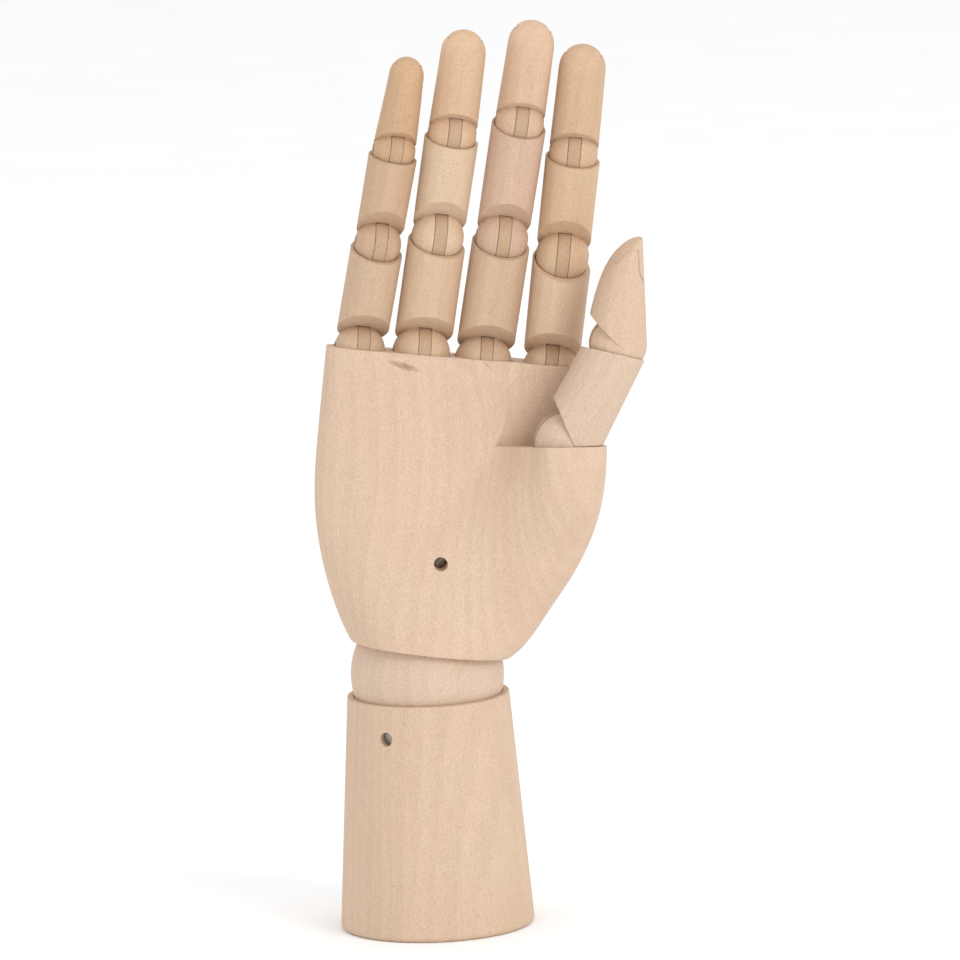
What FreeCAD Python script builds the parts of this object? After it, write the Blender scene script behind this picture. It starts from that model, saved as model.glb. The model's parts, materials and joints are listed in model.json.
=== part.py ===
import FreeCAD, Part
import math
import os
from FreeCAD import Placement, Rotation, Vector

# Jointed wooden artist's hand, right hand, millimetres. +Z is up, the palm faces -Y and the thumb is on +X.
# The origin is the centre of the base's bottom face.

os.makedirs("parts", exist_ok=True)

# ---- fits -------------------------------------------------------------------
BALL_GAP = 0.14            # radial gap between a finger ball and its cup
WRIST_GAP = 0.22           # radial gap between the wrist ball and its cups
CUP_WALL = 0.60            # wall of a finger cup at its rim
SLOT_GAP = 0.10            # gap on each side of a tongue in its slot
PIN_GAP = 0.05             # radial gap between a pin and the hole in its tongue
THUMB_FOOT_GAP = 0.2       # gap between the thumb's foot and its shelf

# ---- base, wrist ball and spring ---------------------------------------------
BASE_HEIGHT = 64.0
BASE_R_BOTTOM = 26.4
BASE_R_RIM = 22.0
BASE_EDGE_ROUND = 1.4
RIM_EDGE_ROUND = 0.4
BASE_CUP_DEPTH = 6.6       # flat floor of the base cup, below the rim
BORE_R = 6.0               # spring bore in the base and the palm
BASE_BORE_DEPTH = 24.0
BALL_R = 20.8
BALL_Z = 69.3              # centre of the wrist ball
BALL_HALF_HEIGHT = 10.75
BALL_BORE_R = 6.9
BASE_PIN_Z = 55.1
BASE_PIN_TURN = -35.5      # turn of the base pin about +Z, from -Y towards -X
PIN_HOLE_R = 1.85
SPRING_PIN_R = 1.5
PIN_RECESS = 1.3
PINCER_SLOPE = 24.0
PINCER_TURN = 40.0

SPRING_WIRE = 1.2
SPRING_R = 3.7             # to the middle of the wire
HEAD_TURN = 35.5           # the spring's upper hook is turned to suit the palm pin
SPRING_TURNS = 16 + HEAD_TURN / 360
HOOK_R = 2.35              # to the middle of the wire
HOOK_LENGTH = 4.6          # from a pin to the end of the coil

# ---- palm ---------------------------------------------------------------------
PALM_PITCH = 5.5           # forward lean at rest
PALM_LEAN = 8.7            # lean to the thumb side at rest
PALM_BOTTOM = 7.5          # distance of the palm's bottom plane above the ball centre
PALM_BOTTOM_TILT = 7.5     # in front of the ball centre the bottom rises towards the palm side
PALM_TOP = 88.3            # top plane at the finger plane
PALM_TOP_TILT = -9.0       # the back of the top edge is lower
PALM_TOP_RISE = 0.8        # the thumb side of the top edge is higher
BEVEL_TILT = 45.0          # the sanded bevel along the palm side of the top edge
BEVEL_START = -8.2         # where that bevel starts, in front of the finger plane
BEVEL_LOWEST = 80.0        # clear of the thenar
PALM_PIN_ALONG = 34.6
PALM_PIN_LATERAL = -1.5
PALM_PIN_SHIFT = 1.7       # middle of the palm pin, behind the ball centre
PALM_PIN_LENGTH = 27.0
FINGER_PLANE = 3.0         # the fingers stand this far behind the ball centre
# along, left edge, right edge, palm face, back, squareness, thenar height
PALM_STATIONS = (
    (6.5, -20.9, 19.6, -20.8, 21.2, 2.0, 0.0),
    (10.0, -23.5, 24.0, -20.6, 20.8, 2.05, 0.3),
    (16.0, -26.8, 28.0, -19.2, 20.0, 2.1, 1.0),
    (25.0, -30.7, 32.2, -16.2, 18.2, 2.2, 3.6),
    (36.0, -34.1, 36.6, -12.6, 16.2, 2.35, 9.0),
    (48.0, -36.2, 39.4, -9.4, 14.4, 2.5, 15.2),
    (60.0, -36.9, 40.1, -7.3, 13.0, 2.7, 19.8),
    (66.0, -37.05, 39.8, -6.6, 12.5, 2.8, 20.7),
    (72.0, -37.2, 39.2, -6.2, 12.1, 2.9, 21.0),
    (76.0, -37.3, 38.9, -6.1, 11.9, 3.0, 20.0),
    (86.0, -37.5, 37.9, -6.1, 11.6, 3.1, 9.0),
    (98.0, -37.7, 36.6, -6.3, 11.4, 3.2, 2.0),
)
THENAR_FROM = 12.5         # lateral place where the thenar starts to rise, at the thumb's shelf
THENAR_TO = 22.5           # lateral place where it has its full height
THENAR_HEIGHT = 72.0       # height of the thumb's shelf
FROM_SPREAD = 0.8          # how fast those two places move apart below the shelf
TO_SPREAD = 0.3
SPREAD_SOFTNESS = 4.0      # how gradually they stop moving apart at the shelf
THUMB_SIDE_SQUARE = 0.06   # extra squareness of the thumb side for each mm of thenar
SHELF_TILT = -6.3          # the thumb shelf rises towards its outer end
SHELF_BELOW_PIVOT = 1.0
# the palm's face beside the index finger's root: across, and in front of the ball centre
FACE_BESIDE_THUMB = (
    (8.0, -9.0),
    (10.5, -7.2),
    (13.0, -6.35),
    (16.0, -6.0),
    (20.0, -5.7),
    (27.0, -5.0),
    (32.0, -4.0),
    (60.0, 6.0),
)
UPPER_EDGE = 32.4          # right edge of the palm above the shelf

# ---- fingers ------------------------------------------------------------------
FINGER_TILT = 2.4          # further forward lean of the fingers
TONGUE_WIDTH = 3.3
MORTISE_DEPTH = 6.0
# name, lateral and along of the first pivot, lean, hinge turn, three lengths, three ball radii, tip radius
FINGERS = (
    ("pinky", (-28.5, 87.2), 2.7, 3.0, (30.1, 26.2, 25.7), (6.95, 6.30, 5.80), 4.4),
    ("ring", (-11.8, 87.9), 0.9, 1.0, (33.0, 28.8, 28.4), (7.80, 7.05, 6.55), 5.9),
    ("middle", (5.1, 87.2), 1.4, 0.0, (34.9, 32.5, 28.0), (7.75, 7.10, 6.60), 6.1),
    ("index", (23.5, 86.8), -1.2, -4.0, (32.1, 28.8, 29.7), (7.60, 7.20, 6.60), 6.2),
)
# hand-sawn cup rims, for the second and third knuckle of each finger:
# how far below the pivot, then how many degrees lower on the palm side and on the thumb side
RIMS = {
    "pinky": ((2.2, 12.0, 1.5), (1.8, 2.0, 0.5)),
    "ring": ((2.2, 11.0, 5.0), (1.7, 5.0, 2.0)),
    "middle": ((1.9, 14.0, 2.0), (1.2, 12.0, 1.5)),
    "index": ((2.4, 20.0, 9.0), (1.7, 6.0, 2.5)),
    "thumb": ((2.9, 12.0, -13.0),),
}
# notch of each knuckle: angle from the axis, distance of its plane in front of the pivot
KNUCKLES = {
    "mcp": (51.0, -7.7),
    "pip": (46.0, -4.9),
    "dip": (54.0, -3.4),
    "thumb_mcp": (49.8, -2.5),
    "thumb_ip": (42.0, -0.9),
}
RIM_SPARE = 4.0            # extra length that the saw takes off
SLOT_TOP = 0.82            # square end of a slot above the pivot, in ball radii
TONGUE_HALF_DEPTH = 0.50   # half the tongue's depth, in ball radii
PIN_R = 1.0
PIN_SINK_R = 1.45
PIN_SINK = 1.1

# ---- thumb --------------------------------------------------------------------
THUMB_PIVOT = (28.2, -15.8, 71.8)
THUMB_LEAN = 20.0
THUMB_BEND = 29.4          # bend of the thumb's own joint at rest
THUMB_LENGTHS = (30.3, 29.0)
THUMB_BALLS = (9.0, 7.85)
THUMB_END_R = 8.4
THUMB_TONGUE_SUNK = 0.45   # the thumb's tongues end a little inside their balls
THUMB_SAW_TILT = 13.0      # the shelf is higher on the palm side

BIG = 120.0


# ---- small helpers --------------------------------------------------------------
def moved(shape, frame):
    copy = shape.copy()
    copy.Placement = frame.multiply(copy.Placement)
    return copy


def block(x0, x1, y0, y1, z0, z1):
    return Part.makeBox(x1 - x0, y1 - y0, z1 - z0, Vector(x0, y0, z0))


def below(height, tilt):
    """Half space under the plane z = height + y * tan(tilt)."""
    slab = block(-BIG, BIG, -BIG, BIG, -BIG, 0)
    return moved(slab, Placement(Vector(0, 0, height), Rotation(Vector(1, 0, 0), tilt)))


def above(height, tilt):
    """Half space over the plane z = height + y * tan(tilt)."""
    slab = block(-BIG, BIG, -BIG, BIG, 0, BIG)
    return moved(slab, Placement(Vector(0, 0, height), Rotation(Vector(1, 0, 0), tilt)))


def rod(radius, half, centre=Vector(0, 0, 0)):
    """Cylinder along X, centred."""
    return Part.makeCylinder(radius, 2 * half, centre - Vector(half, 0, 0), Vector(1, 0, 0))


def smooth(value, low, high):
    """0 below low, 1 above high, and a smooth step between."""
    t = min(1.0, max(0.0, (value - low) / (high - low)))
    return t * t * (3 - 2 * t)


def ring(points):
    """Closed smooth curve through points."""
    curve = Part.BSplineCurve()
    curve.interpolate(Points=points, PeriodicFlag=True)
    return Part.Wire([curve.toShape()])


def rotation(axis, angle):
    return Placement(Vector(0, 0, 0), Rotation(axis, angle))


def at(x, y, z):
    return Placement(Vector(x, y, z), Rotation())


X = Vector(1, 0, 0)
Y = Vector(0, 1, 0)
Z = Vector(0, 0, 1)


# ---- frames -----------------------------------------------------------------------
def palm_frame():
    lean = rotation(X, PALM_PITCH).multiply(rotation(Y, PALM_LEAN))
    return at(0, 0, BALL_Z).multiply(lean)


def finger_frames(finger):
    """One frame for each knuckle: X is its hinge, Z points to the tip and -Y is the palm side."""
    (lateral, along), lean, hinge_turn, lengths = finger[1:5]
    frame = palm_frame().multiply(at(lateral, FINGER_PLANE, along))
    frame = frame.multiply(rotation(X, FINGER_TILT)).multiply(rotation(Y, lean))
    frame = frame.multiply(rotation(Z, hinge_turn))
    frames = [frame]
    for length in lengths[:2]:
        frames.append(frames[-1].multiply(at(0, 0, length)))
    return frames


def thumb_socket_frame():
    frame = palm_frame().multiply(at(*THUMB_PIVOT))
    return frame.multiply(rotation(Y, SHELF_TILT)).multiply(rotation(Z, -90))


def thumb_frames():
    frame = palm_frame().multiply(at(*THUMB_PIVOT))
    first = frame.multiply(rotation(Y, THUMB_LEAN)).multiply(rotation(Z, -90))
    second = first.multiply(at(0, 0, THUMB_LENGTHS[0])).multiply(rotation(X, THUMB_BEND))
    return [first, second]


# ---- knuckle features ----------------------------------------------------------------
def slot(ball):
    """Room for a tongue in a ball: a disc pocket, and a square-ended slot on the back."""
    half = TONGUE_WIDTH / 2 + SLOT_GAP
    pocket = rod(ball + 0.2, half)
    back = block(-half, half, 0, ball + 4, -1, SLOT_TOP * ball)
    return pocket.fuse(back)


def pin_holes(ball, blind):
    """Hole for a pin across a ball, wider at its ends. A blind one has one wide end."""
    end = ball - PIN_SINK
    through = rod(PIN_R, end)
    sides = (-1,) if blind else (-1, 1)
    sinks = [rod(PIN_SINK_R, 2, Vector(side * (end + 2), 0, 0)) for side in sides]
    return through.fuse(sinks)


def knuckle_pin(ball):
    pin = rod(PIN_R, ball - PIN_SINK)
    return pin.makeChamfer(0.15, [edge for edge in pin.Edges if edge.Curve.TypeId == "Part::GeomCircle"])


def mortise(ball):
    """Room for a tongue's stem, in the lower piece, measured from the pivot."""
    half = TONGUE_WIDTH / 2
    depth = TONGUE_HALF_DEPTH * ball
    return block(-half, half, -depth, depth, -(ball + BALL_GAP + MORTISE_DEPTH), 0)


def tongue(ball, sunk=0.0):
    half = TONGUE_WIDTH / 2
    slab = block(-half, half, -2 * ball, 2 * ball, -3 * ball, 2 * ball)
    disc = Part.makeSphere(ball - sunk).common(slab)
    return disc.fuse(mortise(ball)).cut(rod(PIN_R + PIN_GAP, half + 1)).removeSplitter()


def cup(ball):
    return Part.makeSphere(ball + BALL_GAP).fuse(mortise(ball))


def with_knuckle(body, ball, knuckle):
    """Cuts the notch under a body that starts at z = 0, and adds its ball, slot and pin holes."""
    angle, offset = KNUCKLES[knuckle]
    height = -offset / math.tan(math.radians(angle))
    notched = body.cut(below(height, angle - 90))
    blind = knuckle.startswith("thumb")
    return notched.fuse(Part.makeSphere(ball)).cut(slot(ball)).cut(pin_holes(ball, blind))


def link(ball, knuckle, length, end_radius, next_ball, rim, foot=None):
    """A phalanx with a ball at its foot and a cup with a sawn rim at its head."""
    drop, palm_tilt, side_tilt = rim
    slope = (end_radius - ball) / length
    body = Part.makeCone(ball, end_radius + slope * RIM_SPARE, length + RIM_SPARE)
    saw = at(0, 0, length - drop).multiply(rotation(Y, side_tilt)).multiply(rotation(X, palm_tilt))
    body = body.cut(moved(above(0, 0), saw))
    if foot:
        body = body.cut(foot)
    solid = with_knuckle(body, ball, knuckle)
    solid = solid.cut(moved(cup(next_ball), at(0, 0, length)))
    return solid.removeSplitter()


# ---- finger tips -----------------------------------------------------------------------
NAIL_LINE = 0.5            # width and depth of the cut line round a nail
NAIL_DEPTH = 0.35
TIP_SECTIONS = 13
TIP_LAST_ANGLE = 87.0


def tip_body(ball, length, tip, skin=0.0):
    """Bullet shape: nearly straight along the back, curving up to the tip on the palm side."""
    rise = 0.32 * ball
    shoulder = length - tip
    wires = []
    for step in range(TIP_SECTIONS):
        z = length * math.sin(math.radians(TIP_LAST_ANGLE * step / (TIP_SECTIONS - 1)))
        t = z / length
        squeeze = math.sqrt(1 - (max(0.0, z - shoulder) / tip) ** 2)
        half_width = (ball + (tip - ball) * t) * squeeze
        back = rise + (ball * (1 - 0.08 * t * t) - rise) * squeeze
        front = rise - (ball * (1 - 0.62 * t ** 4) + rise) * squeeze
        middle = (back + front) / 2
        shrink = 1.0 - skin / ball
        points = []
        for k in range(12):
            a = 2 * math.pi * k / 12
            y = middle + (back - front) / 2 * shrink * math.sin(a)
            points.append(Vector(half_width * shrink * math.cos(a), y, z))
        wires.append(ring(points))
    return Part.makeLoft(wires, True, False)


def nail_band(half_width, length, foot, line):
    """U-shaped band as seen from the back, open at the tip."""
    def outline(grow):
        half = half_width + grow
        left = Vector(-half, 0, length + 5)
        left_low = Vector(-half, 0, foot + half_width)
        low = Vector(0, 0, foot - grow)
        right_low = Vector(half, 0, foot + half_width)
        right = Vector(half, 0, length + 5)
        edges = [
            Part.LineSegment(left, left_low).toShape(),
            Part.Arc(left_low, low, right_low).toShape(),
            Part.LineSegment(right_low, right).toShape(),
            Part.LineSegment(right, left).toShape(),
        ]
        return Part.Face(Part.Wire(edges)).extrude(Vector(0, 20, 0))
    return outline(line / 2).cut(outline(-line / 2))


def finger_tip(ball, length, tip):
    body = tip_body(ball, length, tip)
    core = tip_body(ball, length, tip, NAIL_DEPTH)
    band = nail_band(0.74 * tip, length, length - 1.55 * ball, NAIL_LINE)
    body = body.cut(band.cut(core))
    return with_knuckle(body, ball, "dip")


# the thumb's last piece: along in lengths, palm side, back and half width in ball radii
# values over 1 lie outside the round stock that the piece is cut from
THUMB_STATIONS = (
    (0.0, -1.10, 1.06, 1.06),
    (0.10, -1.08, 1.06, 1.06),
    (0.20, -1.02, 1.06, 1.06),
    (0.32, -0.89, 1.06, 1.06),
    (0.45, -0.745, 1.06, 1.05),
    (0.555, -0.61, 1.05, 1.03),
    (0.685, -0.41, 1.04, 0.98),
    (0.80, -0.16, 1.03, 0.88),
    (0.89, 0.13, 1.02, 0.73),
    (0.955, 0.45, 1.01, 0.53),
    (0.99, 0.72, 1.0, 0.27),
)


def thumb_tip_body(ball, length, skin=0.0):
    wires = []
    shrink = 1.0 - skin / ball
    for along, front, back, half in THUMB_STATIONS:
        points = []
        for k in range(16):
            a = 2 * math.pi * k / 16
            y = ball * ((front + back) / 2 + (back - front) / 2 * shrink * math.sin(a))
            points.append(Vector(ball * half * shrink * math.cos(a), y, along * length))
        wires.append(ring(points))
    stock = Part.makeCylinder(ball - skin, length)
    return stock.common(Part.makeLoft(wires, True, False))


def thumb_tip(ball, length):
    body = thumb_tip_body(ball, length)
    core = thumb_tip_body(ball, length, NAIL_DEPTH)
    band = nail_band(0.60 * ball, length, length - 1.55 * ball, NAIL_LINE)
    body = body.cut(band.cut(core))
    return with_knuckle(body, ball, "thumb_ip")


# ---- palm --------------------------------------------------------------------------------
# places across a palm section, as shares of its half width
SECTION_FRONT = (
    (-1.0, -0.94, -0.82, -0.6, -0.3, -0.1, 0.04, 0.12, 0.2, 0.27, 0.34)
    + (0.41, 0.48, 0.55, 0.62, 0.7, 0.78, 0.87, 0.95)
)
SECTION_BACK = (1.0, 0.94, 0.82, 0.6, 0.3, 0.0, -0.3, -0.6, -0.82, -0.94)


def palm_section(station):
    along, left, right, face, back, square, thenar = station
    centre = (left + right) / 2
    half = (right - left) / 2
    down = SPREAD_SOFTNESS * math.log(1 + math.exp((THENAR_HEIGHT - along) / SPREAD_SOFTNESS))
    rise_from = THENAR_FROM - FROM_SPREAD * down
    rise_to = THENAR_TO + TO_SPREAD * down
    points = []
    for side, places in ((-1, SECTION_FRONT), (1, SECTION_BACK)):
        for c in places:
            n = square + (THUMB_SIDE_SQUARE * thenar if c > 0 else 0)
            s = (1 - abs(c) ** n) ** (1 / n)
            x = centre + half * c
            front = face - thenar * smooth(x, rise_from, rise_to)
            points.append(Vector(x, (front + back) / 2 + side * (back - front) / 2 * s, along))
    return ring(points)


def shelf_frame():
    """Origin at the thumb's pivot, Z square to the shelf, in palm axes."""
    return at(*THUMB_PIVOT).multiply(rotation(Y, SHELF_TILT)).multiply(rotation(X, -THUMB_SAW_TILT))


def above_shelf():
    return moved(above(-SHELF_BELOW_PIVOT, 0), shelf_frame())


def thumb_foot(first):
    """What the thumb's first piece loses so that it stands just clear of the shelf, in its own axes."""
    shelf = first.inverse().multiply(palm_frame()).multiply(shelf_frame())
    return moved(below(THUMB_FOOT_GAP - SHELF_BELOW_PIVOT, 0), shelf)


def thumb_room():
    """Everything in front of the palm's face beside the index finger, to leave the thumb its room."""
    points = [Vector(x, y, -BIG) for x, y in FACE_BESIDE_THUMB]
    face = Part.BSplineCurve()
    face.interpolate(Points=points)
    corner_right = Vector(points[-1].x, -BIG, -BIG)
    corner_left = Vector(points[0].x, -BIG, -BIG)
    edges = [
        face.toShape(),
        Part.LineSegment(points[-1], corner_right).toShape(),
        Part.LineSegment(corner_right, corner_left).toShape(),
        Part.LineSegment(corner_left, points[0]).toShape(),
    ]
    return Part.Face(Part.Wire(edges)).extrude(Vector(0, 0, 3 * BIG))


def palm_body():
    over = above_shelf()
    body = Part.makeLoft([palm_section(s) for s in PALM_STATIONS], True, False)
    body = body.cut(thumb_room().common(over))
    body = body.common(block(-BIG, BIG, -BIG, BIG, PALM_BOTTOM, BIG))
    body = body.cut(below(PALM_BOTTOM, -PALM_BOTTOM_TILT))
    tilt = rotation(Y, -PALM_TOP_RISE).multiply(rotation(X, PALM_TOP_TILT))
    top_frame = at(0, FINGER_PLANE, PALM_TOP).multiply(tilt)
    bevel_frame = top_frame.multiply(at(0, BEVEL_START, 0))
    bevel_frame = bevel_frame.multiply(rotation(X, BEVEL_TILT - PALM_TOP_TILT))
    bevel = moved(above(0, 0), bevel_frame).common(block(-BIG, BIG, -BIG, BIG, BEVEL_LOWEST, BIG))
    body = body.cut(moved(above(0, 0), top_frame)).cut(bevel)
    edge = block(UPPER_EDGE, BIG, -BIG, BIG, -BIG, BIG)
    return body.cut(edge.common(over))


def make_palm():
    frame = palm_frame()
    body = palm_body()
    dome = Part.makeSphere(BALL_R + WRIST_GAP)
    bore = Part.makeCylinder(BORE_R, PALM_PIN_ALONG + 5)
    hole = Part.makeCylinder(PIN_HOLE_R, 80, Vector(PALM_PIN_LATERAL, -40, PALM_PIN_ALONG), Y)
    body = body.cut(dome.fuse([bore, hole]))
    inverse = frame.inverse()
    for finger in FINGERS:
        socket = moved(cup(finger[5][0]), inverse.multiply(finger_frames(finger)[0]))
        body = body.cut(socket)
    body = body.cut(moved(cup(THUMB_BALLS[0]), inverse.multiply(thumb_socket_frame())))
    return moved(body.removeSplitter(), frame)


# ---- base, ball and spring ------------------------------------------------------------------
def make_base():
    body = Part.makeCone(BASE_R_BOTTOM, BASE_R_RIM, BASE_HEIGHT)
    bottom = [e for e in body.Edges if e.BoundBox.ZMax < 0.1]
    body = body.makeFillet(BASE_EDGE_ROUND, bottom)
    rim = [e for e in body.Edges if e.BoundBox.ZMin > BASE_HEIGHT - 0.1]
    body = body.makeFillet(RIM_EDGE_ROUND, rim)
    socket = Part.makeSphere(BALL_R + WRIST_GAP, Vector(0, 0, BALL_Z))
    socket = socket.common(block(-BIG, BIG, -BIG, BIG, BASE_HEIGHT - BASE_CUP_DEPTH, BIG))
    bore = Part.makeCylinder(BORE_R, BASE_BORE_DEPTH, Vector(0, 0, BASE_HEIGHT - BASE_BORE_DEPTH))
    hole = moved(rod(PIN_HOLE_R, 40), base_pin_frame())
    return body.cut(socket.fuse([bore, hole]))


def base_pin_frame():
    return at(0, 0, BASE_PIN_Z).multiply(rotation(Z, BASE_PIN_TURN - 90))


def spring_pin(length):
    """Steel pin along X, cut off with pincers, which leaves a low ridge across each end."""
    pin = rod(SPRING_PIN_R, length / 2)
    for side in (-1, 1):
        end = at(side * length / 2, 0, 0).multiply(rotation(X, PINCER_TURN))
        end = end.multiply(rotation(Y, 90 * side))
        for flank in (-PINCER_SLOPE, PINCER_SLOPE):
            pin = pin.cut(moved(above(0, flank), end))
    return pin


def make_ball():
    body = Part.makeSphere(BALL_R).common(block(-BIG, BIG, -BIG, BIG, -BALL_HALF_HEIGHT, BALL_HALF_HEIGHT))
    flats = [e for e in body.Edges if abs(abs(e.BoundBox.ZMin) - BALL_HALF_HEIGHT) < 0.01 and e.Closed]
    body = body.makeFillet(0.5, flats)
    body = body.cut(Part.makeCylinder(BALL_BORE_R, 4 * BALL_R, Vector(0, 0, -2 * BALL_R)))
    return moved(body, at(0, 0, BALL_Z))


def palm_pin_frame():
    place = at(PALM_PIN_LATERAL, PALM_PIN_SHIFT, PALM_PIN_ALONG)
    return palm_frame().multiply(place).multiply(rotation(Z, 90))


def spring_frame():
    """Origin on the base pin, Z towards the palm pin, X along the base pin as nearly as that allows."""
    foot = base_pin_frame().Base
    head = palm_frame().multVec(Vector(PALM_PIN_LATERAL, 0, PALM_PIN_ALONG))
    along = head - foot
    pin = base_pin_frame().Rotation.multVec(X)
    return Placement(foot, Rotation(pin, Vector(), along, "ZXY")), along.Length


def hook():
    """Loop round a pin that lies along X, and the leg that joins it to the coil."""
    loop = Part.makeTorus(HOOK_R, SPRING_WIRE / 2, Vector(0, 0, 0), X)
    foot = Vector(0, 0, HOOK_R)
    top = Vector(0, SPRING_R, HOOK_LENGTH)
    leg = Part.makeCylinder(SPRING_WIRE / 2, (top - foot).Length, foot, top - foot)
    elbow = Part.makeSphere(SPRING_WIRE * 0.58, top)
    return loop.fuse([leg, elbow])


def make_spring():
    frame, length = spring_frame()
    height = length - 2 * HOOK_LENGTH
    path = Part.makeHelix(height / SPRING_TURNS, height, SPRING_R)
    section = Part.Wire([Part.makeCircle(SPRING_WIRE / 2, Vector(SPRING_R, 0, 0), Y)])
    coil = Part.Wire(path).makePipeShell([section], True, True)
    coil = moved(coil, at(0, 0, HOOK_LENGTH).multiply(rotation(Z, 90)))
    flip = rotation(Z, HEAD_TURN).multiply(rotation(X, 180)).multiply(rotation(Z, 180))
    head = moved(hook(), at(0, 0, length).multiply(flip))
    return moved(coil.fuse([hook(), head]), frame)


# ---- all pieces ------------------------------------------------------------------------------
def make_parts():
    parts = {
        "base": make_base(),
        "wrist_ball": make_ball(),
        "palm": make_palm(),
        "wrist_spring": make_spring(),
    }
    base_radius = BASE_R_BOTTOM + (BASE_R_RIM - BASE_R_BOTTOM) * BASE_PIN_Z / BASE_HEIGHT
    parts["base_spring_pin"] = moved(spring_pin(2 * (base_radius - PIN_RECESS)), base_pin_frame())
    parts["palm_spring_pin"] = moved(spring_pin(PALM_PIN_LENGTH), palm_pin_frame())
    for finger in FINGERS:
        name = finger[0]
        lengths, balls, tip = finger[4:]
        rims = RIMS[name]
        frames = finger_frames(finger)
        ends = [balls[1] + BALL_GAP + CUP_WALL, balls[2] + BALL_GAP + CUP_WALL]
        pieces = [
            ("proximal", "mcp", link(balls[0], "mcp", lengths[0], ends[0], balls[1], rims[0])),
            ("middle", "pip", link(balls[1], "pip", lengths[1], ends[1], balls[2], rims[1])),
            ("distal", "dip", finger_tip(balls[2], lengths[2], tip)),
        ]
        for (piece, joint, shape), ball, frame in zip(pieces, balls, frames):
            parts[f"{name}_{piece}"] = moved(shape, frame)
            parts[f"{name}_{joint}_tongue"] = moved(tongue(ball), frame)
            parts[f"{name}_{joint}_pin"] = moved(knuckle_pin(ball), frame)
    first, second = thumb_frames()
    ball, small_ball = THUMB_BALLS
    rim = RIMS["thumb"][0]
    foot = thumb_foot(first)
    shaft = link(ball, "thumb_mcp", THUMB_LENGTHS[0], THUMB_END_R, small_ball, rim, foot)
    parts["thumb_proximal"] = moved(shaft, first)
    parts["thumb_distal"] = moved(thumb_tip(small_ball, THUMB_LENGTHS[1]), second)
    parts["thumb_mcp_tongue"] = moved(tongue(ball, THUMB_TONGUE_SUNK), thumb_socket_frame())
    head = first.multiply(at(0, 0, THUMB_LENGTHS[0]))
    parts["thumb_ip_tongue"] = moved(tongue(small_ball, THUMB_TONGUE_SUNK), head)
    parts["thumb_mcp_pin"] = moved(knuckle_pin(ball), first)
    parts["thumb_ip_pin"] = moved(knuckle_pin(small_ball), second)
    return parts


PARTS = make_parts()
for node, shape in PARTS.items():
    print(node, len(shape.Solids), round(shape.Volume, 1), shape.isValid())
    shape.exportStep(f"parts/{node}.step")
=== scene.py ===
"""Looks of the jointed wooden hand: procedural woods and steels, studio floor and light, camera."""

import bpy
import json
from math import cos, radians, sin
from mathutils import Matrix, Vector


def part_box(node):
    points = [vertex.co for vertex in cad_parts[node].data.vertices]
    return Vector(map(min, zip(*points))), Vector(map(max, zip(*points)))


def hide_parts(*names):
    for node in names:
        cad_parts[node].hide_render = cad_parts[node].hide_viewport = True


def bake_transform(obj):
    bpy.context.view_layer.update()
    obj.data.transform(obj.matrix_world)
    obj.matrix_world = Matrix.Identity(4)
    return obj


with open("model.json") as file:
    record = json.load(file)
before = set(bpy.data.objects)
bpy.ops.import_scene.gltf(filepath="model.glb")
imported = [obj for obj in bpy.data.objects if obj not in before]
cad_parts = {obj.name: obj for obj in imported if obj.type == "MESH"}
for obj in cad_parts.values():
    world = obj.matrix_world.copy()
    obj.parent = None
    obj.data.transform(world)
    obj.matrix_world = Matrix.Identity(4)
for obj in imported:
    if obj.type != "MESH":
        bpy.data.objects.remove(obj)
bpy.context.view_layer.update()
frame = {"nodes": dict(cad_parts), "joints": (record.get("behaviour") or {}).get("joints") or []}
nodes = frame["nodes"]
joints = {joint["name"]: joint for joint in frame["joints"]}

MM = 0.001
UP = Vector((0, 0, 1))


# ---- node helpers ------------------------------------------------------------------------------

def add(tree, kind, settings=None, **inputs):
    """A new shader node; an input is a value or another node's output socket."""
    node = tree.nodes.new(kind)
    for key, value in (settings or {}).items():
        setattr(node, key, value)
    for key, value in inputs.items():
        socket = node.inputs[key.replace("_", " ")]
        if isinstance(value, bpy.types.NodeSocket):
            tree.links.new(value, socket)
        else:
            socket.default_value = value
    return node


def calc(tree, operation, *values):
    """A Math node's result."""
    node = tree.nodes.new("ShaderNodeMath")
    node.operation = operation
    for socket, value in zip(node.inputs, values):
        if isinstance(value, bpy.types.NodeSocket):
            tree.links.new(value, socket)
        else:
            socket.default_value = value
    return node.outputs[0]


def vector(tree, operation, *values, scale=None):
    """A Vector Math node, whose results are its outputs Vector and Value."""
    node = tree.nodes.new("ShaderNodeVectorMath")
    node.operation = operation
    for socket, value in zip(node.inputs, values):
        if isinstance(value, bpy.types.NodeSocket):
            tree.links.new(value, socket)
        else:
            socket.default_value = value
    if isinstance(scale, bpy.types.NodeSocket):
        tree.links.new(scale, node.inputs["Scale"])
    elif scale is not None:
        node.inputs["Scale"].default_value = scale
    return node


def noise(tree, where, scales, detail=2.0, roughness=0.5):
    """Noise from 0 to 1 around one half, with its cells per millimetre along each local axis."""
    scaled = vector(tree, "MULTIPLY", where, scales).outputs["Vector"]
    made = add(tree, "ShaderNodeTexNoise", Vector=scaled, Scale=1.0, Detail=detail,
               Roughness=roughness)
    return made.outputs[0]


def between(tree, value, low, high, out_low=0.0, out_high=1.0):
    """The value's smooth rise from out_low at low to out_high at high."""
    return add(tree, "ShaderNodeMapRange", {"interpolation_type": "SMOOTHSTEP"}, Value=value,
               From_Min=low, From_Max=high, To_Min=out_low, To_Max=out_high).outputs["Result"]


def new_material(name):
    material = bpy.data.materials.new(name)
    material.use_nodes = True
    tree = material.node_tree
    shader = tree.nodes["Principled BSDF"]
    return material, tree, shader


def linear(red, green, blue):
    """A colour from its 0 to 255 screen values."""
    return [((v / 255 + 0.055) / 1.055) ** 2.4 for v in (red, green, blue)]


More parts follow.
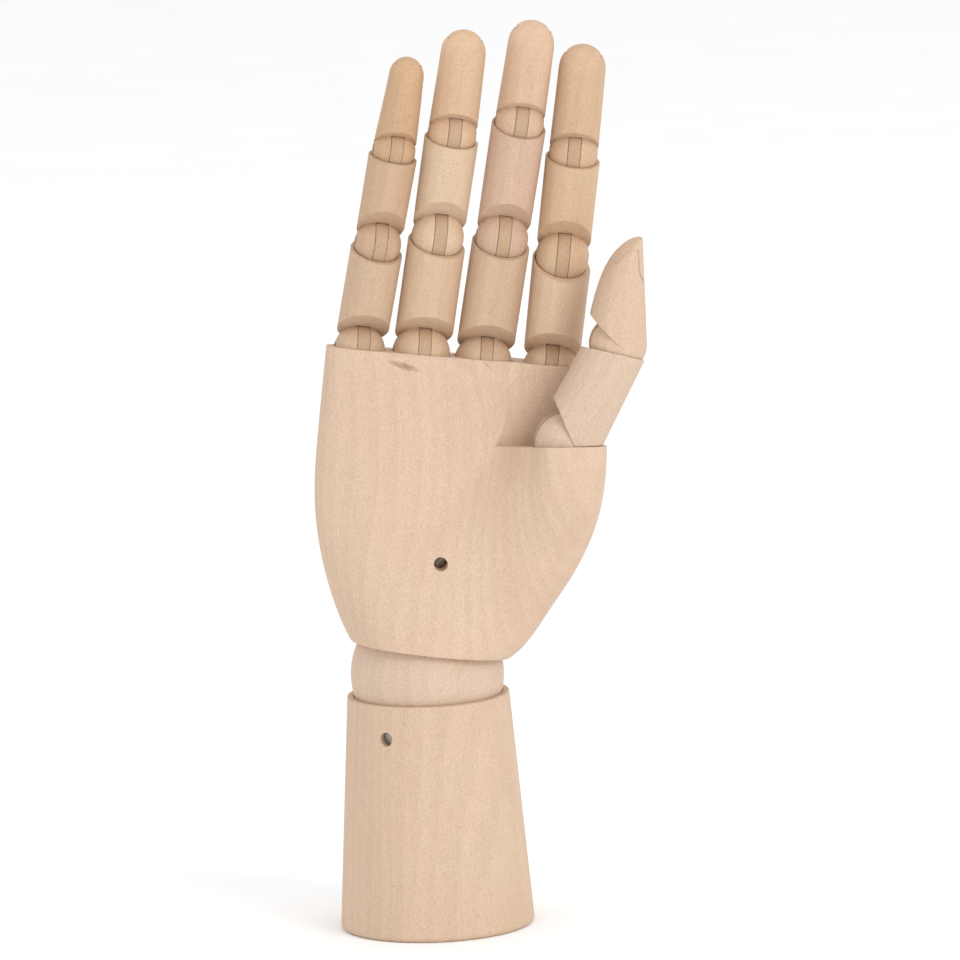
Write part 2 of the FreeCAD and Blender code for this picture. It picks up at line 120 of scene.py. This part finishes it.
def dress(node, material):
    """Gives an object its one material."""
    node.data.materials.clear()
    node.data.materials.append(material)


# ---- wood --------------------------------------------------------------------------------------

# the wood's colour wanders between these two casts
PINK = (1.015, 0.985, 0.985)
YELLOW = (1.0, 1.015, 0.975)

# growth rings, in millimetres: the pith lies beside the piece
PITH = (-34.0, 27.0, 0.0)
RING_SPACING = 3.1
WAVE_REACH = (7.0, 7.0, 0.0)

# noise cells per millimetre: twice across the grain, then along it
WAVE_CELLS = (0.05, 0.05, 0.014)
BAND_CELLS = (0.17, 0.17, 0.008)
FIBRE_CELLS = (1.7, 1.7, 0.11)
HAIR_CELLS = (4.6, 4.6, 0.42)
PORE_CELLS = (2.9, 2.9, 0.36)
SPECK_CELLS = (2.3, 2.3, 2.0)
FLECK_CELLS = (1.1, 1.1, 0.9)
MOTTLE_CELLS = (0.055, 0.055, 0.03)
PORE_END_CELLS = (2.6, 2.6, 2.6)
PATCH_CELLS = (0.8, 0.8, 0.8)

# where each layer starts and ends, as shares of a ring, of the noise or of a facing
RING_RISE = (0.15, 0.85)
RING_FALL = (0.88, 1.0)
PORE_RISE = (0.63, 0.72)
PORE_END_RISE = (0.57, 0.68)
END_GRAIN_RISE = (0.72, 0.97)
EDGE_TURN = (0.995, 0.90)
PATCH_RISE = (0.30, 0.55)

# the layer's own start and end, then what they become
MOTTLE_TO_CAST = (0.35, 0.65, 0.1, 0.7)
FLECK_TO_CAST = (0.3, 0.7, 0.0, 0.3)
FIBRE_TO_ROUGHNESS = (0.3, 0.7, 0.55, 0.70)

# moves the noise to a fresh place for each piece, in millimetres per seed
SEED_STEP = Vector((37.0, -23.0, 61.0))

# how much each layer lightens the wood, or darkens it where negative
RING_LIGHT = -0.040
BAND_LIGHT = 0.16
FIBRE_LIGHT = 0.15
HAIR_LIGHT = 0.13
SPECK_LIGHT = 0.60
PORE_LIGHT = -0.05
END_GRAIN_LIGHT = -0.05
PORE_END_LIGHT = -0.07
# the edges are lighter partly from rubbed wear and partly as a painted highlight along the rims
EDGE_WEAR_AND_HIGHLIGHT = 0.17
STREAK_LIGHT = 0.20
GOUGE_LIGHT = -0.42

# darker wood is also redder: powers of the shade in red and in blue
RED_POWER = 0.85
BLUE_POWER = 1.25

# surface: what each layer adds to the bump's height, and the rounding of the edges in metres
FIBRE_HEIGHT = 0.5
SPECK_HEIGHT = 0.6
PORE_HEIGHT = -0.35
GOUGE_HEIGHT = -3.0
BUMP_STRENGTH = 0.55
BUMP_DISTANCE = 0.00009
EDGE_RADIUS = 0.00045
BEVEL_SAMPLES = 4
WOOD_SPECULAR = 0.32

# sanding streaks and the gouge under the row of knuckles
STREAK_BAND = 7 * MM
STREAK_SLANT = radians(-32)
STREAK_CELLS = (0.9, 0.3, 0.09)
GOUGE_SHARE = 0.70
GOUGE_DROP = 2.4 * MM
GOUGE_FORWARD = 9 * MM
GOUGE_SIZE = (5.6 * MM, 7 * MM, 1.2 * MM)
GOUGE_SLANT = radians(20)
GOUGE_CELLS = (0.7, 0.7, 1.6)
GOUGE_ROUGH = (0.22, 0.50)
GOUGE_RIM = (1.0, 0.3)


def edge_marks(tree, where, place, first, last):
    """Sanding streaks under the knuckles from first to last, and a small gouge in the edge."""
    up = (last - first).cross(Vector((0, 1, 0))).normalized()
    up = up if up.z > 0 else -up
    from_row = vector(tree, "SUBTRACT", where, tuple(first)).outputs["Vector"]
    above = vector(tree, "DOT_PRODUCT", from_row, tuple(up)).outputs["Value"]
    near = between(tree, above, -STREAK_BAND, 0.0)
    slanted = add(tree, "ShaderNodeMapping", Vector=place, Rotation=(0, STREAK_SLANT, 0))
    lines = noise(tree, slanted.outputs["Vector"], STREAK_CELLS)
    streaks = calc(tree, "MULTIPLY", calc(tree, "SUBTRACT", lines, 0.5), near)
    gouge = first + (last - first) * GOUGE_SHARE - up * GOUGE_DROP - Vector((0, GOUGE_FORWARD, 0))
    spot = add(tree, "ShaderNodeMapping", {"vector_type": "TEXTURE"}, Vector=where, Location=gouge,
               Rotation=(0, GOUGE_SLANT, 0), Scale=GOUGE_SIZE)
    far = vector(tree, "LENGTH", spot.outputs["Vector"]).outputs["Value"]
    rough = between(tree, noise(tree, place, GOUGE_CELLS, detail=3.0), *GOUGE_ROUGH)
    return streaks, calc(tree, "MULTIPLY", between(tree, far, *GOUGE_RIM), rough)


def grain_place(tree, where, along, origin, shift):
    """The place in millimetres, with Z along the grain, and the same place bent by slow waves."""
    turn = UP.rotation_difference(along).to_euler()
    local = add(tree, "ShaderNodeMapping", {"vector_type": "TEXTURE"}, Vector=where,
                Location=origin, Rotation=turn).outputs["Vector"]
    place = vector(tree, "SCALE", local, scale=1 / MM).outputs["Vector"]
    place = vector(tree, "ADD", place, shift).outputs["Vector"]
    slow = vector(tree, "MULTIPLY", place, WAVE_CELLS).outputs["Vector"]
    wave = add(tree, "ShaderNodeTexNoise", Scale=1.0, Detail=1.0, Vector=slow)
    wave = vector(tree, "SUBTRACT", wave.outputs["Color"], (0.5, 0.5, 0.5)).outputs["Vector"]
    wave = vector(tree, "MULTIPLY", wave, WAVE_REACH).outputs["Vector"]
    return place, vector(tree, "ADD", place, wave).outputs["Vector"]


def growth_ring(tree, bent, shift):
    """Rings around the pith: each is a slow rise and a quicker fall."""
    from_pith = vector(tree, "SUBTRACT", bent, tuple(Vector(PITH) + shift)).outputs["Vector"]
    from_pith = vector(tree, "MULTIPLY", from_pith, (1.0, 1.0, 0.0)).outputs["Vector"]
    radius = vector(tree, "LENGTH", from_pith).outputs["Value"]
    phase = calc(tree, "FRACT", calc(tree, "DIVIDE", radius, RING_SPACING))
    rise = between(tree, phase, *RING_RISE)
    fall = between(tree, phase, *RING_FALL)
    return calc(tree, "SUBTRACT", rise, fall)


def rubbed_and_highlit_edge(tree, rounded, place):
    """Where the rounded normal leaves the flat one, in patches: rubbed wear, and a painted
    highlight along the rims.
    """
    flat = add(tree, "ShaderNodeNewGeometry").outputs["Normal"]
    turned = vector(tree, "DOT_PRODUCT", rounded, flat).outputs["Value"]
    patch = between(tree, noise(tree, place, PATCH_CELLS, detail=3.0), *PATCH_RISE)
    return calc(tree, "MULTIPLY", between(tree, turned, *EDGE_TURN), patch)


def weighted(tree, total, layers):
    """The total plus each layer's distance from its middle, times its weight."""
    for value, middle, weight in layers:
        part = calc(tree, "MULTIPLY", calc(tree, "SUBTRACT", value, middle), weight)
        total = calc(tree, "ADD", part, total)
    return total


def wood(name, tint, along, origin, seed, figure=1.0, knuckle_row=None):
    """Fine sanded pale wood whose grain runs along a direction in the piece."""
    material, tree, shader = new_material(name)
    coords = add(tree, "ShaderNodeTexCoord")
    where = coords.outputs["Object"]
    shift = SEED_STEP * seed
    place, bent = grain_place(tree, where, along, origin, shift)
    fibre = noise(tree, bent, FIBRE_CELLS, detail=3.0, roughness=0.6)
    pore = between(tree, noise(tree, bent, PORE_CELLS, detail=1.0), *PORE_RISE)
    speck = noise(tree, place, SPECK_CELLS, roughness=0.7)

    # end grain is a little darker and shows the pores as dots
    facing = vector(tree, "DOT_PRODUCT", coords.outputs["Normal"], tuple(along)).outputs["Value"]
    end = between(tree, calc(tree, "ABSOLUTE", facing), *END_GRAIN_RISE)
    dot = between(tree, noise(tree, place, PORE_END_CELLS, detail=1.0), *PORE_END_RISE)
    rounded = add(tree, "ShaderNodeBevel", {"samples": BEVEL_SAMPLES},
                  Radius=EDGE_RADIUS).outputs["Normal"]

    # each layer, its middle value and its weight
    layers = [
        (growth_ring(tree, bent, shift), 0.35, RING_LIGHT * figure),
        (noise(tree, bent, BAND_CELLS), 0.5, BAND_LIGHT * figure),
        (fibre, 0.5, FIBRE_LIGHT * figure),
        (noise(tree, bent, HAIR_CELLS, detail=1.0), 0.5, HAIR_LIGHT),
        (speck, 0.5, SPECK_LIGHT),
        (pore, 0.0, PORE_LIGHT * figure),
        (end, 0.0, END_GRAIN_LIGHT),
        # lighter edges: rubbed wear and a painted highlight along the rims
        (rubbed_and_highlit_edge(tree, rounded, place), 0.0, EDGE_WEAR_AND_HIGHLIGHT),
        (calc(tree, "MULTIPLY", dot, end), 0.0, PORE_END_LIGHT),
    ]
    heights = [(fibre, 0.0, FIBRE_HEIGHT), (speck, 0.0, SPECK_HEIGHT), (pore, 0.0, PORE_HEIGHT)]
    if knuckle_row:
        streaks, gouge = edge_marks(tree, where, place, *knuckle_row)
        layers += [(streaks, 0.0, STREAK_LIGHT), (gouge, 0.0, GOUGE_LIGHT)]
        heights.append((gouge, 0.0, GOUGE_HEIGHT))
    shade = weighted(tree, 1.0, layers)

    mottle = noise(tree, place, MOTTLE_CELLS)
    fleck = noise(tree, place, FLECK_CELLS, roughness=0.6)
    blend = calc(tree, "ADD", between(tree, mottle, *MOTTLE_TO_CAST),
                 between(tree, fleck, *FLECK_TO_CAST))
    cast = add(tree, "ShaderNodeMix", {"data_type": "VECTOR"})
    tree.links.new(blend, cast.inputs[0])
    cast.inputs[4].default_value = PINK
    cast.inputs[5].default_value = YELLOW
    colour = vector(tree, "MULTIPLY", cast.outputs[1], tuple(tint)).outputs["Vector"]
    deeper = add(tree, "ShaderNodeCombineXYZ", X=calc(tree, "POWER", shade, RED_POWER), Y=shade,
                 Z=calc(tree, "POWER", shade, BLUE_POWER)).outputs["Vector"]
    colour = vector(tree, "MULTIPLY", colour, deeper).outputs["Vector"]
    tree.links.new(colour, shader.inputs["Base Color"])

    bump = add(tree, "ShaderNodeBump", Strength=BUMP_STRENGTH, Distance=BUMP_DISTANCE,
               Height=weighted(tree, 0.0, heights), Normal=rounded)
    tree.links.new(bump.outputs["Normal"], shader.inputs["Normal"])
    tree.links.new(between(tree, fibre, *FIBRE_TO_ROUGHNESS), shader.inputs["Roughness"])
    shader.inputs["Specular IOR Level"].default_value = WOOD_SPECULAR
    return material


# ---- steel -------------------------------------------------------------------------------------

# a roughness pair is that of clean and of grimy metal
PIN_TINT = (0.34, 0.32, 0.29)
PIN_ROUGHNESS = (0.42, 0.62)
SPRING_TINT = (0.42, 0.42, 0.43)
SPRING_ROUGHNESS = (0.28, 0.45)
METALLIC = 0.75

GRIME_CELLS = (0.9, 0.9, 0.9)
DRAWN_CELLS = (9.0, 1.2, 9.0)
GRIME_RANGE = (0.3, 0.7)
STEEL_SEED_STEP = Vector((11.0, 5.0, 0.0))
STEEL_SHADE = 0.72
GRIME_LIGHT = 0.36
DRAWN_LIGHT = 0.2
DRAWN_HEIGHT = 0.5
STEEL_BUMP_STRENGTH = 0.5
STEEL_BUMP_DISTANCE = 0.00004
STEEL_EDGE_RADIUS = 0.00012


def steel(name, tint, roughness, seed):
    """Dull wire with drawing lines and grime."""
    material, tree, shader = new_material(name)
    coords = add(tree, "ShaderNodeTexCoord")
    place = vector(tree, "SCALE", coords.outputs["Object"], scale=1 / MM).outputs["Vector"]
    place = vector(tree, "ADD", place, STEEL_SEED_STEP * seed).outputs["Vector"]
    grime = noise(tree, place, GRIME_CELLS, detail=4.0, roughness=0.7)
    drawn = noise(tree, place, DRAWN_CELLS)
    shade = weighted(tree, STEEL_SHADE, [(grime, 0.0, GRIME_LIGHT), (drawn, 0.0, DRAWN_LIGHT)])
    colour = vector(tree, "SCALE", tint, scale=shade).outputs["Vector"]
    tree.links.new(colour, shader.inputs["Base Color"])
    shader.inputs["Metallic"].default_value = METALLIC
    tree.links.new(between(tree, grime, *GRIME_RANGE, *roughness), shader.inputs["Roughness"])
    height = weighted(tree, 0.0, [(drawn, 0.0, DRAWN_HEIGHT), (grime, 0.0, 1.0)])
    rounded = add(tree, "ShaderNodeBevel", {"samples": BEVEL_SAMPLES}, Radius=STEEL_EDGE_RADIUS)
    bump = add(tree, "ShaderNodeBump", Strength=STEEL_BUMP_STRENGTH, Distance=STEEL_BUMP_DISTANCE,
               Height=height, Normal=rounded.outputs["Normal"])
    tree.links.new(bump.outputs["Normal"], shader.inputs["Normal"])
    return material


# ---- each piece gets its own cut of wood -------------------------------------------------------

# a colour on screen times LIT is the wood's own colour, because the studio light brightens it
LIT = 0.755

# each piece's colour on screen, from 0 to 255, with the light and shade that fell on it there: the
# differences between pieces, such as the darker pinky, are partly painted shade and partly the
# wood's own tone
TINTS_WITH_SHADE = {
    "base": (229, 199, 173),
    "wrist_ball": (230, 203, 180),
    "palm": (232, 202, 177),
    "pinky_proximal": (219, 187, 159),
    "pinky_middle": (215, 180, 150),
    "pinky_distal": (217, 179, 143),
    "ring_proximal": (227, 195, 165),
    "ring_middle": (231, 203, 173),
    "ring_distal": (227, 192, 158),
    "middle_proximal": (221, 190, 161),
    "middle_middle": (224, 190, 167),
    "middle_distal": (227, 193, 164),
    "index_proximal": (230, 199, 169),
    "index_middle": (224, 190, 156),
    "index_distal": (219, 184, 152),
    "thumb_proximal": (228, 201, 178),
    "thumb_distal": (227, 197, 171),
}
# the tongues' colour on screen is darker than their pieces as painted shade of the slots they sit
# in
TONGUE_TINT_WITH_SHADE = (206, 172, 141)
TONGUE_FIGURE = 0.8

# noise seeds: the tongues' are past those of TINTS_WITH_SHADE, the spring's past those of the pins
FIRST_TONGUE_SEED = 31
SPRING_SEED = 40

SEGMENTS = {"finger": ("proximal", "middle", "distal"), "thumb": ("proximal", "distal")}
HINGES = {"finger": ("mcp", "pip", "dip"), "thumb": ("mcp", "ip")}


def joint_at(name):
    return Vector(joints[name]["pos_m"])


def middle_of(node):
    low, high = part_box(node)
    return (low + high) / 2


def grain_of(node):
    """Where a piece's grain starts and the way it runs, from the joints at its two ends."""
    finger, _, part = node.partition("_")
    if finger not in ("pinky", "ring", "middle", "index", "thumb"):
        return Vector((0, 0, 0)), UP
    kind = "thumb" if finger == "thumb" else "finger"
    segments, hinges = SEGMENTS[kind], HINGES[kind]
    step = segments.index(part) if part in segments else hinges.index(part.split("_")[0])
    start = joint_at(f"{finger}_{hinges[step]}")
    if step + 1 < len(hinges):
        stop = joint_at(f"{finger}_{hinges[step + 1]}")
    else:
        stop = middle_of(f"{finger}_distal")
    return start, (stop - start).normalized()


def own_colour(tint):
    return [LIT * v for v in linear(*tint)]


for seed, (node, tint) in enumerate(TINTS_WITH_SHADE.items(), start=1):
    origin, along = grain_of(node)
    row = (joint_at("pinky_mcp"), joint_at("ring_mcp")) if node == "palm" else None
    dress(nodes[node], wood(node, own_colour(tint), along, origin, seed, knuckle_row=row))

tongues = sorted(node for node in nodes if node.endswith("_tongue"))
for seed, node in enumerate(tongues, start=FIRST_TONGUE_SEED):
    origin, along = grain_of(node)
    material = wood(node, own_colour(TONGUE_TINT_WITH_SHADE), along, origin, seed, figure=TONGUE_FIGURE)
    dress(nodes[node], material)

for seed, node in enumerate(sorted(node for node in nodes if node.endswith("_pin"))):
    dress(nodes[node], steel(node, PIN_TINT, PIN_ROUGHNESS, seed))


def bending_spring():
    """The wrist spring as its own piece: a copy of wrist_spring in its own steel, with the original
    hidden.
    """
    mesh = nodes["wrist_spring"].data.copy()
    spring = bpy.data.objects.new("spring_coil", mesh)
    bpy.context.scene.collection.objects.link(spring)
    dress(spring, steel("spring_coil", SPRING_TINT, SPRING_ROUGHNESS, SPRING_SEED))
    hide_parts("wrist_spring")
    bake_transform(spring)


bending_spring()


# ---- studio ------------------------------------------------------------------------------------

# the camera's angles, the picture's scale, and the picture row of the base's origin
AZIMUTH = radians(-4)
ELEVATION = radians(9.6)
ROLL = radians(2.4)
FRAME_PX = 960
MM_PER_PX = 0.2723
BASE_ROW = 923
LENS = 400.0
SENSOR = 36.0
CLIP_END = 100.0

FLOOR_REACH = 30.0
FLOOR_CELLS = (0.02, 0.02, 0.02)
FLOOR_TONE = (0.2, 0.8, 0.93, 0.95)
FLOOR_ROUGHNESS = 0.9
FLOOR_SPECULAR = 0.1

# name, place in metres, size in metres, power in watts
LIGHTS = (
    ("key", (1.3, -1.8, 1.3), 1.2, 20.5),
    ("fill", (-1.6, -1.5, 0.7), 1.4, 3.5),
    ("top", (0.1, 0.2, 2.2), 1.6, 6.0),
)
LIGHTS_AIM = (0, 0, 0.12)
WORLD_STRENGTH = 0.95


def make_camera():
    """A long lens looking at the palm from slightly above and a little to the left."""
    back = Vector((sin(AZIMUTH) * cos(ELEVATION), -cos(AZIMUTH) * cos(ELEVATION), sin(ELEVATION)))
    level = Vector((cos(AZIMUTH), sin(AZIMUTH), 0))
    rise = back.cross(level)
    right = level * cos(ROLL) - rise * sin(ROLL)
    up = level * sin(ROLL) + rise * cos(ROLL)
    across = [point.co.dot(right) for node in nodes.values() for point in node.data.vertices]
    centre = right * (min(across) + max(across)) / 2
    centre += up * (BASE_ROW - FRAME_PX / 2) * MM_PER_PX * MM
    distance = FRAME_PX * MM_PER_PX * MM * LENS / SENSOR
    data = bpy.data.cameras.new("camera")
    data.lens = LENS
    data.sensor_width = SENSOR
    data.clip_end = CLIP_END
    camera = bpy.data.objects.new("camera", data)
    place = Matrix((right, up, back)).transposed().to_4x4()
    place.translation = centre + back * distance
    camera.matrix_world = place
    bpy.context.scene.collection.objects.link(camera)
    bpy.context.scene.camera = camera


def make_floor():
    """A pale, very slightly uneven studio floor."""
    mesh = bpy.data.meshes.new("floor")
    reach = FLOOR_REACH
    corners = [(-reach, -reach, 0), (reach, -reach, 0), (reach, reach, 0), (-reach, reach, 0)]
    mesh.from_pydata(corners, [], [(0, 1, 2, 3)])
    floor = bpy.data.objects.new("floor", mesh)
    bpy.context.scene.collection.objects.link(floor)
    material, tree, shader = new_material("floor")
    coords = add(tree, "ShaderNodeTexCoord")
    place = vector(tree, "SCALE", coords.outputs["Object"], scale=1 / MM).outputs["Vector"]
    tone = between(tree, noise(tree, place, FLOOR_CELLS), *FLOOR_TONE)
    tree.links.new(add(tree, "ShaderNodeCombineXYZ", X=tone, Y=tone, Z=tone).outputs["Vector"],
                   shader.inputs["Base Color"])
    shader.inputs["Roughness"].default_value = FLOOR_ROUGHNESS
    shader.inputs["Specular IOR Level"].default_value = FLOOR_SPECULAR
    mesh.materials.append(material)


def make_light(name, place, size, power):
    """A round soft light that looks at the middle of the hand."""
    data = bpy.data.lights.new(name, "AREA")
    data.shape = "DISK"
    data.size = size
    data.energy = power
    light = bpy.data.objects.new(name, data)
    light.location = place
    light.rotation_euler = (Vector(place) - Vector(LIGHTS_AIM)).to_track_quat("Z", "Y").to_euler()
    bpy.context.scene.collection.objects.link(light)


make_camera()
make_floor()
for name, place, size, power in LIGHTS:
    make_light(name, place, size, power)

world = bpy.data.worlds.new("studio")
bpy.context.scene.world = world
world.use_nodes = True
background = world.node_tree.nodes["Background"]
background.inputs["Color"].default_value = (1, 1, 1, 1)
background.inputs["Strength"].default_value = WORLD_STRENGTH
bpy.context.scene.view_settings.view_transform = "Standard"
